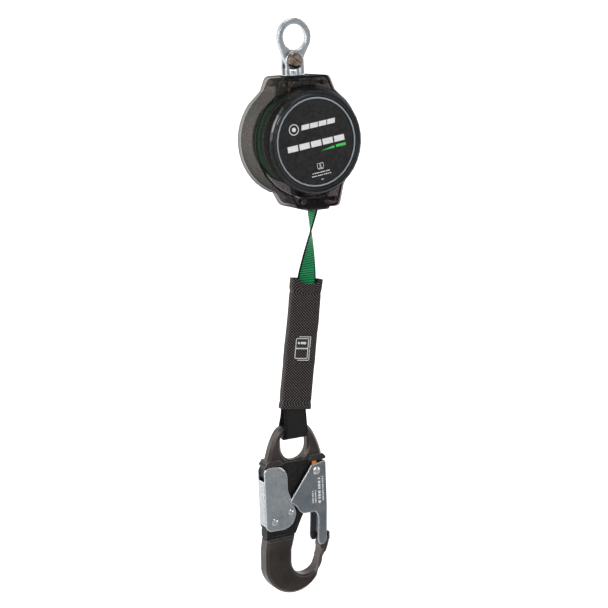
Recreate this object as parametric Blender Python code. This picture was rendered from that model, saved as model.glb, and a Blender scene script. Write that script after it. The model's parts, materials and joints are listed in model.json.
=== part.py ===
"""Self retracting lifeline: a steel eye on a slotted bolt, a swivel, a clear round housing with a web drum,
a recoil spring and a centrifugal brake, a webbing line with a covered shock pack, and a locking snap hook.

Every size below is in millimetres and becomes metres when a mesh is made.
+Z is up and -Y is the labelled front.
The origin is the centre of the hole in the anchor eye, where the whole object hangs."""

import math

import bmesh
import bpy
from mathutils import Matrix, Vector

MM = 0.001
GAP = 0.3  # left between pieces that touch
ROUND = 36  # sides of a large turned piece
SMALL = 20  # sides of a small turned piece

# anchor eye and swivel
EYE_HOLE_R, EYE_R, EYE_THICK = 12.6, 18.4, 6.0
BOLT_X, BOLT_Z, BOLT_R = -2.3, -23.0, 4.0
LOBE_R, BUSH_R = 9.0, 5.0
CHEEK_R, CHEEK_THICK = 9.8, 2.5
BOLT_HEAD_R, BOLT_HEAD_H = 8.2, 3.6
STUD_R = 3.3

# housing, measured from the drum axis: x from the middle, z from the middle
AXIS_Z = -100.5
BODY_R, SHELL_WALL = 57.5, 2.5
TOP_H, TOP_HALF, TOP_FLARE = 63.5, 25.0, 31.0
BASE_H, BASE_LEFT, BASE_RIGHT = -66.5, -14.0, 32.5
REAR_Y, PART_Y, FLANGE_Y, RIM_Y = 16.0, -25.2, -29.2, -42.6
BOSS_R, BOSS_RIM_R = 55.0, 50.3

# drum and what turns with it
WEB_MID_Y, WEB_WIDTH, WEB_THICK = -5.0, 20.0, 1.8
PACK_R, HUB_R, FLANGE_R, FLANGE_THICK = 42.5, 16.0, 44.5, 1.6
SHAFT_R = 5.0
PLATE_THICK = 2.4
RATCHET_R, RATCHET_ROOT_R, RATCHET_TIP_R, RATCHET_TEETH = 39.0, 35.0, 32.0, 12
PAWL_PIVOT_R = 20.0

# web, cover and hook
EXIT_X, EXIT_Z = 12.1, -171.0
COVER_TOP = Vector((4.0, -2.5, -241.5))
COVER_END = Vector((-15.2, -2.5, -374.0))
COVER_WIDTH, COVER_DEPTH, COVER_WALL = 34.8, 11.8, 1.4
LOOP_X, LOOP_WIDTH, LOOP_THICK = -16.6, 25.8, 2.8
HOOK_X, HOOK_Z = -18.2, -412.5
BAR_R = 5.75
EYE_SLOT_HALF, EYE_SLOT_TOP = 15.2, 10.0
MID_HALF, LEDGE_HALF, END_HALF = 6.0, 7.8, 8.1
LEVER_IN, LEVER_OUT = 6.4, 8.0
GATE_IN, GATE_OUT = 8.4, 10.0
GATE_PIVOT = (3.9, -441.6)
LEVER_PIVOT = (-45.3, -488.8)
LOCK_PIN = (-26.5, -481.3)


# ---------------------------------------------------------------- helpers

def arc(cx, cz, radius, start, end, steps):
    """Points on an arc, angles in degrees from +X towards +Z."""
    turn = [math.radians(start + (end - start) * i / steps) for i in range(steps + 1)]
    return [(cx + radius * math.cos(t), cz + radius * math.sin(t)) for t in turn]


def bend(start, control, end, steps=4):
    """Inner points of a quadratic curve, without its two ends."""
    points = []
    for i in range(1, steps):
        t = i / steps
        points.append(tuple(
            (1 - t) ** 2 * a + 2 * t * (1 - t) * b + t * t * c for a, b, c in zip(start, control, end)
        ))
    return points


def rounded(corners, steps=3):
    """A polygon whose corners (x, z, radius) are replaced by short curves."""
    points = []
    for i, (x, z, radius) in enumerate(corners):
        here = Vector((x, z))
        if radius <= 0:
            points.append((x, z))
            continue
        before = Vector(corners[i - 1][:2]) - here
        after = Vector(corners[(i + 1) % len(corners)][:2]) - here
        start = here + before.normalized() * min(radius, before.length * 0.45)
        end = here + after.normalized() * min(radius, after.length * 0.45)
        start, end = tuple(start), tuple(end)
        points += [start, *bend(start, (x, z), end, steps), end]
    return points


def hull(circles, steps=14):
    """The outline of a belt round circles (x, z, radius), as a convex polygon."""
    cloud = sorted({
        (round(x + r * math.cos(2 * math.pi * i / (2 * steps)), 6),
         round(z + r * math.sin(2 * math.pi * i / (2 * steps)), 6))
        for x, z, r in circles for i in range(2 * steps)
    })

    def half(points):
        chain = []
        for p in points:
            while len(chain) > 1 and (
                (chain[-1][0] - chain[-2][0]) * (p[1] - chain[-2][1])
                - (chain[-1][1] - chain[-2][1]) * (p[0] - chain[-2][0])
            ) <= 1e-9:
                chain.pop()
            chain.append(p)
        return chain[:-1]

    return half(cloud) + half(cloud[::-1])


def material(name, colour, roughness, metallic=0.0, alpha=1.0):
    """A plain finish of one colour."""
    made = bpy.data.materials.new(name)
    made.use_nodes = True
    shader = made.node_tree.nodes["Principled BSDF"]
    shader.inputs["Base Color"].default_value = (*colour, 1.0)
    shader.inputs["Roughness"].default_value = roughness
    shader.inputs["Metallic"].default_value = metallic
    shader.inputs["Alpha"].default_value = alpha
    return made


def add(name, mesh, look, parent=None, at=(0, 0, 0)):
    """Puts a mesh in the scene, with its origin at a point given in millimetres."""
    piece = bpy.data.objects.new(name, mesh)
    bpy.context.collection.objects.link(piece)
    piece.location = [v * MM for v in at]
    piece.parent = parent
    mesh.materials.append(look)
    return piece


def finished(build, sharp=35):
    """Turns a bmesh in millimetres into a mesh in metres, facing out and shaded smooth."""
    bmesh.ops.recalc_face_normals(build, faces=build.faces)
    bmesh.ops.scale(build, vec=(MM, MM, MM), verts=build.verts)
    mesh = bpy.data.meshes.new("solid")
    build.to_mesh(mesh)
    build.free()
    mesh.shade_smooth()
    mesh.set_sharp_from_angle(angle=math.radians(sharp))
    return mesh


def loft(loops, ring=False):
    """Joins loops of equal length one after the other. A ring closes on itself, anything else is capped."""
    build = bmesh.new()
    rows = [[build.verts.new(p) for p in loop] for loop in loops]
    pairs = list(zip(rows, rows[1:]))
    if ring:
        pairs.append((rows[-1], rows[0]))
    else:
        build.faces.new(rows[0][::-1])
        build.faces.new(rows[-1])
    for low, high in pairs:
        for i in range(len(low)):
            j = (i + 1) % len(low)
            build.faces.new((low[i], low[j], high[j], high[i]))
    return finished(build)


def turned(profile, axis="Y", sides=SMALL, ring=False):
    """Turns (radius, distance along the axis) points into a solid, or a ring if the profile is closed."""
    loops = []
    for radius, along in profile:
        loop = []
        for i in range(sides):
            t = 2 * math.pi * (i + 0.5) / sides
            a, b = radius * math.cos(t), radius * math.sin(t)
            loop.append({"Y": (a, along, b), "Z": (a, b, along), "X": (along, a, b)}[axis])
        loops.append(loop)
    return loft(loops, ring)


def tube(outer, inner, start, end, axis="Y", sides=SMALL):
    return turned([(outer, start), (outer, end), (inner, end), (inner, start)], axis, sides, ring=True)


def rod(radius, start, end, axis="Y", sides=SMALL, chamfer=0.4):
    inner = radius - chamfer
    return turned([
        (inner, start), (radius, start + chamfer), (radius, end - chamfer), (inner, end)
    ], axis, sides)


def plate(outlines, y_from, y_to, bevel=0.0):
    """A flat plate in the XZ plane from outlines, the first outside and the rest holes."""
    curve = bpy.data.curves.new("plate", "CURVE")
    curve.dimensions = "2D"
    curve.fill_mode = "BOTH"
    curve.extrude = (y_to - y_from) / 2 - bevel
    curve.bevel_depth = bevel
    curve.bevel_resolution = 0
    curve.offset = -bevel
    for outline in outlines:
        spline = curve.splines.new("POLY")
        spline.points.add(len(outline) - 1)
        spline.use_cyclic_u = True
        for point, (x, z) in zip(spline.points, outline):
            point.co = (x, z, 0, 1)
    helper = bpy.data.objects.new("plate", curve)
    bpy.context.collection.objects.link(helper)
    mesh = bpy.data.meshes.new_from_object(helper)
    bpy.data.objects.remove(helper)
    build = bmesh.new()
    build.from_mesh(mesh)
    bmesh.ops.remove_doubles(build, verts=build.verts, dist=1e-4)
    bmesh.ops.transform(build, matrix=Matrix.Rotation(math.pi / 2, 4, "X"), verts=build.verts)
    bmesh.ops.translate(build, vec=(0, (y_from + y_to) / 2, 0), verts=build.verts)
    return finished(build)


def box(low, high):
    (x0, y0, z0), (x1, y1, z1) = low, high
    return loft([
        [(x0, y0, z), (x1, y0, z), (x1, y1, z), (x0, y1, z)] for z in (z0, z1)
    ])


def shape(piece, other_mesh, operation):
    """Cuts a mesh from a piece, or joins it on, by a Boolean with a hidden helper."""
    tool = bpy.data.objects.new(piece.name + "_tool", other_mesh)
    bpy.context.collection.objects.link(tool)
    tool.parent = piece
    tool.hide_render = True
    tool.display_type = "WIRE"
    step = piece.modifiers.new(operation.lower(), "BOOLEAN")
    step.operation = operation
    step.object = tool


def cut(piece, mesh):
    shape(piece, mesh, "DIFFERENCE")


def join(piece, mesh):
    shape(piece, mesh, "UNION")


def circle(x, z, radius, sides=SMALL):
    return arc(x, z, radius, 0, 360 - 360 / sides, sides - 1)


def at_height(outline, y):
    return [(x, y, z) for x, z in outline]


# ---------------------------------------------------------------- colours

def looks():
    """The finishes, named after the record's material slots."""
    return {
        "zinc": material("zinc", (0.62, 0.64, 0.66), 0.32, 1.0),
        "bolt_steel": material("bolt_steel", (0.45, 0.39, 0.34), 0.2, 1.0),
        "bronze": material("bronze", (0.6, 0.42, 0.2), 0.35, 1.0),
        "brass": material("brass", (0.72, 0.6, 0.32), 0.3, 1.0),
        "frame_steel": material("frame_steel", (0.5, 0.5, 0.52), 0.35, 1.0),
        "spring_steel": material("spring_steel", (0.3, 0.32, 0.38), 0.3, 1.0),
        "smoke_clear": material("smoke_clear", (0.16, 0.15, 0.14), 0.12, 0.0, 0.45),
        "seal_rubber": material("seal_rubber", (0.01, 0.01, 0.01), 0.6),
        "bezel_plastic": material("bezel_plastic", (0.012, 0.012, 0.013), 0.3),
        "label": material("label", (0.02, 0.02, 0.02), 0.5),
        "trim": material("trim", (0.5, 0.54, 0.58), 0.35, 0.6),
        "inner_plastic": material("inner_plastic", (0.02, 0.02, 0.022), 0.45),
        "web_green": material("web_green", (0.015, 0.3, 0.12), 0.8),
        "cover_fabric": material("cover_fabric", (0.03, 0.028, 0.028), 0.85),
        "web_black": material("web_black", (0.015, 0.015, 0.016), 0.8),
        "hook_black": material("hook_black", (0.06, 0.05, 0.048), 0.35, 0.6),
        "tell_tale": material("tell_tale", (0.85, 0.3, 0.03), 0.5),
    }


# ---------------------------------------------------------------- anchor and swivel

def anchor_eye(look):
    """The flat eye with its big round hole, and the bronze bush that the bolt turns in."""
    outline = hull([(0, 0, EYE_R), (BOLT_X, BOLT_Z, LOBE_R)], 18)
    holes = [circle(0, 0, EYE_HOLE_R, 32), circle(BOLT_X, BOLT_Z, BUSH_R + GAP)]
    half = EYE_THICK / 2
    add("anchor_eye", plate([outline, *holes], -half, half, 0.9), look["zinc"])
    add("eye_bush", tube(BUSH_R, BOLT_R + GAP, -half, half), look["bronze"], at=(BOLT_X, 0, BOLT_Z))


def swivel(look, bolt):
    """The forked yoke with its bolt and nut, and the stud that lets the housing turn under it."""
    inner = EYE_THICK / 2 + 0.4
    outer = inner + CHEEK_THICK
    base_top, base_end = -13.4, -17.4
    arch = arc(0, 0, CHEEK_R, 0, 180, 14) + [(-CHEEK_R, base_top - 1), (CHEEK_R, base_top - 1)]
    window = rounded([(-6.4, base_top, 0), (6.4, base_top, 0), (6.4, -6, 2), (-6.4, -6, 2)])
    cheek = [arch, circle(0, 0, BOLT_R + GAP), window]
    yoke = add("swivel_yoke", plate(cheek, -outer, -inner), look["zinc"], bolt)
    join(yoke, plate(cheek, inner, outer))
    join(yoke, turned([(11.0, base_top), (11.6, base_top - 0.6), (11.6, base_end)], "Z", 32))
    cut(yoke, rod(STUD_R + GAP, base_end - 2, base_top + 2, "Z", chamfer=0))
    head = [(BOLT_HEAD_R - 0.5, -outer - GAP), (BOLT_HEAD_R, -outer - 1.1), (7.4, -outer - 2.3),
            (5.2, -outer - 3.3), (2.4, -outer - BOLT_HEAD_H)]
    shank = [(BOLT_R - 0.4, 11.6), (BOLT_R, 11.0), (BOLT_R, -outer - GAP)]
    bolt_piece = add("clevis_bolt", turned(shank + head, "Y", 24), look["bolt_steel"], bolt)
    slot = box((-1.3, -outer - 5, -9), (1.3, -outer - 1.6, 9))
    slot.transform(Matrix.Rotation(math.radians(-55), 4, "Y"))
    cut(bolt_piece, slot)
    hexagon = [circle(0, 0, 6.6, 6), circle(0, 0, BOLT_R + GAP)]
    add("clevis_nut", plate(hexagon, outer + GAP, outer + 4.3), look["zinc"], bolt)
    add("swivel_stud", rod(STUD_R, -32.6, -10.0, "Z", 24, 0.5), look["zinc"], bolt)
    add("thrust_washer", tube(7.0, STUD_R + GAP, -28.2, -27.1, "Z", 24), look["bronze"], bolt)
    nut = plate([circle(0, 0, 6.0, 6), circle(0, 0, STUD_R + GAP)], -31.8, -28.5)
    nut.transform(Matrix.Rotation(math.pi / 2, 4, "X"))
    add("stud_nut", nut, look["zinc"], bolt)


# ---------------------------------------------------------------- housing

def housing_outline(inset=0.0):
    """The housing seen from the front: a round body with a flared neck above and an offset one below."""
    r = BODY_R - inset
    top, half, flare = TOP_H - inset, TOP_HALF - inset, TOP_FLARE - inset
    base, left, right = BASE_H + inset, BASE_LEFT + inset, BASE_RIGHT - inset
    side = arc(0, 0, r, -42, 41, 11)
    other = arc(0, 0, r, 139, 243, 14)
    points = side + bend(side[-1], (flare + 5.5, 43.5), (flare, 49), 3)
    crown = [(half * share, top, 0) for share in (0.6, 0.2, -0.2, -0.6)]
    points += rounded([(flare, 49, 0), (half, top, 4), *crown, (-half, top, 4), (-flare, 49, 0)])
    points += bend((-flare, 49), (-flare - 5.5, 43.5), other[0], 3) + other
    sole = [(left + (right - left) * share, base, 0) for share in (0.2, 0.4, 0.6, 0.8)]
    points += rounded([(left - 7.5, -52, 0), (left, base, 4), *sole, (right, base, 4), (right + 5, -47, 0)])
    return points + bend((right + 5, -47), (right + 6.4, -42.5), side[0], 3)


def like_circle(outline, radius):
    """The points of a circle that lie in the same directions as an outline's points."""
    return [
        (radius * x / math.hypot(x, z), radius * z / math.hypot(x, z)) for x, z in outline
    ]


SCREWS = [(-19.2, 56.5), (19.2, 56.5), (27.9, -59.4), (-9.3, -59.3)]


def shells(look, drum):
    """The clear rear cup with four screw posts, the clear front shell, and the seal between them."""
    floor = REAR_Y - SHELL_WALL
    loops = [
        at_height(housing_outline(5.0), REAR_Y), at_height(housing_outline(2.0), REAR_Y - 0.8),
        at_height(housing_outline(0.4), REAR_Y - 3), at_height(housing_outline(), REAR_Y - 6),
        at_height(housing_outline(), PART_Y), at_height(housing_outline(SHELL_WALL), PART_Y),
        at_height(housing_outline(SHELL_WALL), REAR_Y - 6), at_height(housing_outline(5.0), floor),
    ]
    rear = add("rear_shell", loft(loops), look["smoke_clear"], drum)
    for x, z in SCREWS:
        post = rod(3.6, -10.5, floor + 1, chamfer=0, sides=12)
        post.transform(Matrix.Translation((x * MM, 0, z * MM)))
        join(rear, post)
    cut(rear, rod(12.2, 55, 70, "Z", 32, 0))
    cut(rear, box((3.9, -17.5, -72), (24.9, 7.5, -60)))
    outline = housing_outline()
    front_loops = [
        at_height(outline, PART_Y - 1.3), at_height(outline, FLANGE_Y + 0.6),
        at_height(housing_outline(0.6), FLANGE_Y),
    ]
    boss = [
        (BOSS_R, FLANGE_Y), (BOSS_R - 0.8, -35.0), (BOSS_R - 2.4, -39.0), (BOSS_RIM_R, RIM_Y),
        (BOSS_RIM_R - 2.5, RIM_Y), (BOSS_R - 4.8, -38.4), (BOSS_R - 2.5, PART_Y - 1.3),
    ]
    front_loops += [at_height(like_circle(outline, radius), y) for radius, y in boss]
    front = add("front_shell", loft(front_loops, ring=True), look["smoke_clear"], drum)
    for x, z in SCREWS:
        hole = rod(2.2, -32, -24, chamfer=0, sides=12)
        hole.transform(Matrix.Translation((x * MM, 0, z * MM)))
        cut(front, hole)
    section = ((0.2, -25.5), (0.2, -26.2), (2.3, -26.2), (2.3, -25.5))
    seal = [at_height(housing_outline(inset), y) for inset, y in section]
    add("housing_seal", loft(seal, ring=True), look["seal_rubber"], drum)
    for n, (x, z) in enumerate(SCREWS, 1):
        screw = turned([(2.6, -31.4), (2.9, -30.9), (2.9, -29.5), (1.7, -29.5), (1.7, -13.2)], sides=12)
        piece = add(f"housing_screw_{n}", screw, look["bolt_steel"], drum, (x, 0, z))
        socket = turned([(1.4, -33), (1.4, -30.4)], sides=6)
        cut(piece, socket)
        add(f"thread_insert_{n}", tube(2.8, 2.0, -24.0, -10.9, sides=12), look["brass"], drum, (x, 0, z))


def face(look, drum):
    """The black bezel, the disc that carries the label, and its silver ring."""
    bezel = [
        (44.5, -42.9), (44.5, -44.4), (45.6, -45.0), (46.6, -45.0),
        (47.5, -44.2), (48.9, -45.0), (50.5, -43.9), (50.5, -42.9),
    ]
    add("front_bezel", turned(bezel, sides=ROUND, ring=True), look["bezel_plastic"], drum)
    disc = [(47.2, -40.6), (47.2, -42.6), (44.1, -42.6), (44.1, -43.4), (43.6, -43.7)]
    add("label_disc", turned(disc, sides=ROUND), look["label"], drum)
    trim = [(42.1, -44.0), (42.1, -44.5), (43.5, -44.5), (43.5, -44.0)]
    add("trim_ring", turned(trim, sides=ROUND, ring=True), look["trim"], drum)


def frame(look, drum):
    """Two steel plates that carry the load from the swivel to the drum shaft, and their ties."""
    outline = hull([(-9, 53, 5.5), (9, 53, 5.5), (0, 0, 22), (5, -52, 6), (19, -52, 6)], 8)
    bolts = [(-9.5, 54.0), (9.5, 54.0)]
    for name, low in (("frame_plate_front", -21.0), ("frame_plate_rear", 8.6)):
        holes = [circle(x, z, 2.5 + GAP, 12) for x, z in bolts] + [circle(0, 0, 7.6 + GAP, 24)]
        add(name, plate([outline, *holes], low, low + PLATE_THICK), look["frame_steel"], drum)
    block = add("swivel_block", box((-14.4, -18.2, 50.7), (14.4, 8.2, 59.5)), look["inner_plastic"], drum)
    cut(block, rod(STUD_R + GAP, 45, 62, "Z", 24, 0))
    for n, (x, z) in enumerate(bolts, 1):
        side = rod(2.5 + GAP, -20, 10, chamfer=0, sides=12)
        side.transform(Matrix.Translation((x * MM, 0, z * MM)))
        cut(block, side)
        bolt = turned([(3.5, -23.4), (3.9, -22.9), (3.9, -21.3), (2.5, -21.3), (2.5, 12.4)], sides=12)
        add(f"frame_bolt_{n}", bolt, look["frame_steel"], drum, (x, 0, z))
    add("retaining_pin", rod(1.3, -5.0, 10.5, "X", 12), look["zinc"], drum, (0, -23.2, 59.4))
    tie = rounded([(-18.9, -49.0, 0), (-13.4, -59.6, 0.4), (-12.2, -59.0, 0.4), (-17.5, -48.4, 0)])
    add("frame_tie", plate([tie], -24.0, -21.4), look["zinc"], drum)
    for name, low in (("shaft_bush_front", -21.2), ("shaft_bush_rear", 8.4)):
        add(name, tube(7.6, SHAFT_R + 0.1, low, low + 2.8, sides=24), look["bronze"], drum)


def web_route():
    """The web's run inside the housing: off the drum at its lower right and down to the outlet."""
    out = Vector((EXIT_X - BOLT_X, EXIT_Z - AXIS_Z + 0.6))
    reach = PACK_R + 1.3
    turn = math.atan2(out.y, out.x) + math.acos(reach / out.length)
    touch = Vector((math.cos(turn), math.sin(turn))) * reach
    along = (out - touch).normalized()
    bent = out + Vector((0, 9.5))
    upper = bent + (touch - bent).normalized() * 4
    return [touch + along * 1.5, touch.lerp(bent, 0.5), upper, bent - Vector((0, 2)), out]


def web_parts(look, drum):
    """The guide block, the outlet and the stretch of web between the drum and the outlet."""
    centre = EXIT_X - BOLT_X
    low, high = WEB_MID_Y - WEB_WIDTH / 2, WEB_MID_Y + WEB_WIDTH / 2
    block = box((centre - 10, low - 3.2, -58.5), (centre + 9.5, high + 3.2, -49.0))
    guide = add("guide_block", block, look["inner_plastic"], drum)
    cut(guide, box((centre - 5.5, low - 0.8, -60), (centre + 8.0, high + 0.8, -47)))
    lip = [
        [(centre + a * sx, WEB_MID_Y + b * sy, z) for a, b in rounded_box(1, 1)]
        for sx, sy, z in (
            (9.5, 12.0, -59.4), (9.5, 12.0, -66.8), (13.0, 14.0, -67.0), (13.6, 14.6, -68.4),
            (12.8, 13.8, -70.2), (4.2, 11.0, -70.2), (3.4, 10.6, -66.0), (3.6, 10.8, -59.4),
        )
    ]
    add("outlet_nozzle", loft(lip, ring=True), look["inner_plastic"], drum)
    route = web_route()
    loops = []
    for i, point in enumerate(route):
        ahead = route[min(i + 1, len(route) - 1)] - route[max(i - 1, 0)]
        across = Vector((-ahead.y, ahead.x)).normalized() * WEB_THICK / 2
        a, b = point - across, point + across
        loops.append([(a.x, low, a.y), (b.x, low, b.y), (b.x, high, b.y), (a.x, high, a.y)])
    add("web_lead", loft(loops), look["web_green"], drum)


def rounded_box(half_x, half_y, share=0.35):
    """A unit rectangle's outline with rounded corners, for lofts."""
    corners = ((half_x, -half_y), (half_x, half_y), (-half_x, half_y), (-half_x, -half_y))
    return rounded([(x, y, share) for x, y in corners], 2)


def reel(look, drum):
    """The shaft, the hub with its two flanges, and the web wound between them."""
    low, high = WEB_MID_Y - WEB_WIDTH / 2, WEB_MID_Y + WEB_WIDTH / 2
    add("main_shaft", rod(SHAFT_R, -39.0, 12.6, sides=24), look["frame_steel"], drum)
    bore = SHAFT_R + GAP
    hub = tube(HUB_R - GAP, bore, low - 0.5, high + 0.5, sides=32)
    add("drum_hub", hub, look["inner_plastic"], drum)
    for name, y in (("drum_flange_front", low - 0.8 - FLANGE_THICK), ("drum_flange_rear", high + 0.8)):
        flange = tube(FLANGE_R, bore, y, y + FLANGE_THICK, sides=ROUND)
        add(name, flange, look["frame_steel"], drum)
    add("web_pack", tube(PACK_R, HUB_R, low, high, sides=ROUND), look["web_green"], drum)


def pawl_outline():
    """A pawl in its own frame, with its pivot at the origin and its nose towards +X."""
    return rounded([
        (-4.5, -3.4, 2), (2, -4.2, 1), (13.2, -1.4, 0.8), (13.0, 1.4, 0.8), (1, 4, 2), (-5.5, 3.4, 2)
    ])


def brake(look, drum):
    """Two pawls on a carrier that turns with the drum, inside a ring of catches fixed to the frame."""
    low, high = -27.0, -22.6
    arms = hull([(-PAWL_PIVOT_R, 0, 6), (PAWL_PIVOT_R, 0, 6), (0, 0, 13)], 10)
    disc = plate([arms, circle(0, 0, SHAFT_R + GAP)], low - 2.4, low - 0.3)
    carrier = add("pawl_carrier", disc, look["frame_steel"], drum)
    teeth = []
    for n in range(RATCHET_TEETH):
        start = 360 * n / RATCHET_TEETH - 17.5
        teeth += arc(0, 0, RATCHET_ROOT_R, start, start + 19, 3)
        teeth += arc(0, 0, RATCHET_TIP_R, start + 20, start + 28, 1)
    ring = plate([circle(0, 0, RATCHET_R, ROUND), teeth], low, high)
    add("ratchet_ring", ring, look["frame_steel"], drum)
    for n, side in ((1, 1), (2, -1)):
        pin = rod(2.2, low - 1.2, high - 0.4, chamfer=0, sides=14)
        pin.transform(Matrix.Translation((side * PAWL_PIVOT_R * MM, 0, 0)))
        join(carrier, pin)
        mesh = plate([pawl_outline(), circle(0, 0, 2.2 + GAP, 14)], low, high - 1.0)
        piece = add(f"pawl_{n}", mesh, look["bronze"], drum, (side * PAWL_PIVOT_R, 0, 0))
        piece.rotation_euler = (0, math.radians(60 + (0 if side > 0 else 180)), 0)


def recoil(look, drum):
    """The spring case in the front boss, the coiled spring in it, and the arbor at its inner end."""
    case = [
        (46.8, -39.6), (49.0, -36.8), (49.0, -29.9), (47.4, -29.9), (47.4, -36.2), (46.2, -38.2),
        (9.5, -38.2), (9.5, -39.6),
    ]
    add("spring_case", turned(case, sides=ROUND, ring=True), look["inner_plastic"], drum)
    add("spring_arbor", tube(8.6, SHAFT_R + GAP, -37.6, -30.2, sides=24), look["frame_steel"], drum)
    turns, steps, thick, low, high = 4, 60, 0.9, -37.4, -31.0
    loops = []
    for i in range(steps + 1):
        share = i / steps
        t = 2 * math.pi * turns * share
        radius = 11.0 + (37.5 - 11.0) * share
        c, s = math.cos(t), math.sin(t)
        section = ((radius, low), (radius + thick, low), (radius + thick, high), (radius, high))
        loops.append([(r * c, y, r * s) for r, y in section])
    add("power_spring", loft(loops), look["spring_steel"], drum)


# ---------------------------------------------------------------- line

def line(look):
    """The twisted web under the outlet, the cover with the shock pack in it, and the hook's loop."""
    start, end = Vector((EXIT_X, WEB_MID_Y, EXIT_Z)), COVER_TOP.lerp(COVER_END, 0.07)
    steps = 24
    loops = []
    for i in range(steps + 1):
        share = i / steps
        centre = start.lerp(end, share)
        turn = math.radians(90 - 106 * share)
        wide = Vector((math.cos(turn), math.sin(turn), 0)) * WEB_WIDTH / 2
        thin = Vector((-math.sin(turn), math.cos(turn), 0)) * WEB_THICK / 2
        loops.append([tuple(centre + a * wide + b * thin) for a, b in ((-1, -1), (1, -1), (1, 1), (-1, 1))])
    add("lifeline_web", loft(loops), look["web_green"])
    run = COVER_END - COVER_TOP
    tilt = bpy.data.objects.new("cover_frame", None)
    bpy.context.collection.objects.link(tilt)
    tilt.location = [v * MM for v in COVER_TOP]
    tilt.rotation_euler = (0, math.atan2(-run.x, -run.z), 0)
    half_x, half_y, length = COVER_WIDTH / 2, COVER_DEPTH / 2, run.length
    wall = COVER_WALL
    unit = rounded([(1, -1, 0.2), (1, 1, 0.2), (-1, 1, 0.2), (-1, -1, 0.2)], 3)
    sleeve = [
        [(a * sx, b * sy, z) for a, b in unit]
        for sx, sy, z in ((half_x, half_y, 0), (half_x, half_y, -length),
                          (half_x - wall, half_y - wall, -length), (half_x - wall, half_y - wall, 0))
    ]
    add("shock_cover", loft(sleeve, ring=True), look["cover_fabric"], tilt)
    pack = box((-12.5, -4.0, -length + 9), (12.5, 4.0, -length * 0.07 - 2.6))
    add("shock_pack", pack, look["web_black"], tilt)
    hook_loop(look)


def hook_loop(look):
    """A flat web loop: down in front of the hook's bar, under it and up behind, its ends in the cover."""
    bar_z = HOOK_Z + (EYE_SLOT_TOP + EYE_SLOT_TOP + 2 * BAR_R) / 2
    inner, top = BAR_R + 1.1, COVER_END.z + 5.5
    outer = inner + LOOP_THICK
    ends = COVER_DEPTH / 2 - COVER_WALL - 0.5
    low_half = arc(0, bar_z, outer, 180, 390, 10)
    back = arc(0, bar_z, inner, 390, 180, 10)
    shift = COVER_END.y
    front, rear, waist = shift - ends, shift + ends, top - 9
    profile = [(front, top), (front - 0.2, waist), *low_half, (rear + 0.2, waist), (rear, top)]
    profile += [(rear - LOOP_THICK, top), (rear - LOOP_THICK + 0.2, waist), *back]
    profile += [(front + LOOP_THICK - 0.2, waist), (front + LOOP_THICK, top)]
    loops = [[(x, y, z) for y, z in profile] for x in (LOOP_X - LOOP_WIDTH / 2, LOOP_X + LOOP_WIDTH / 2)]
    add("hook_loop", loft(loops), look["web_black"])


# ---------------------------------------------------------------- snap hook

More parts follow.
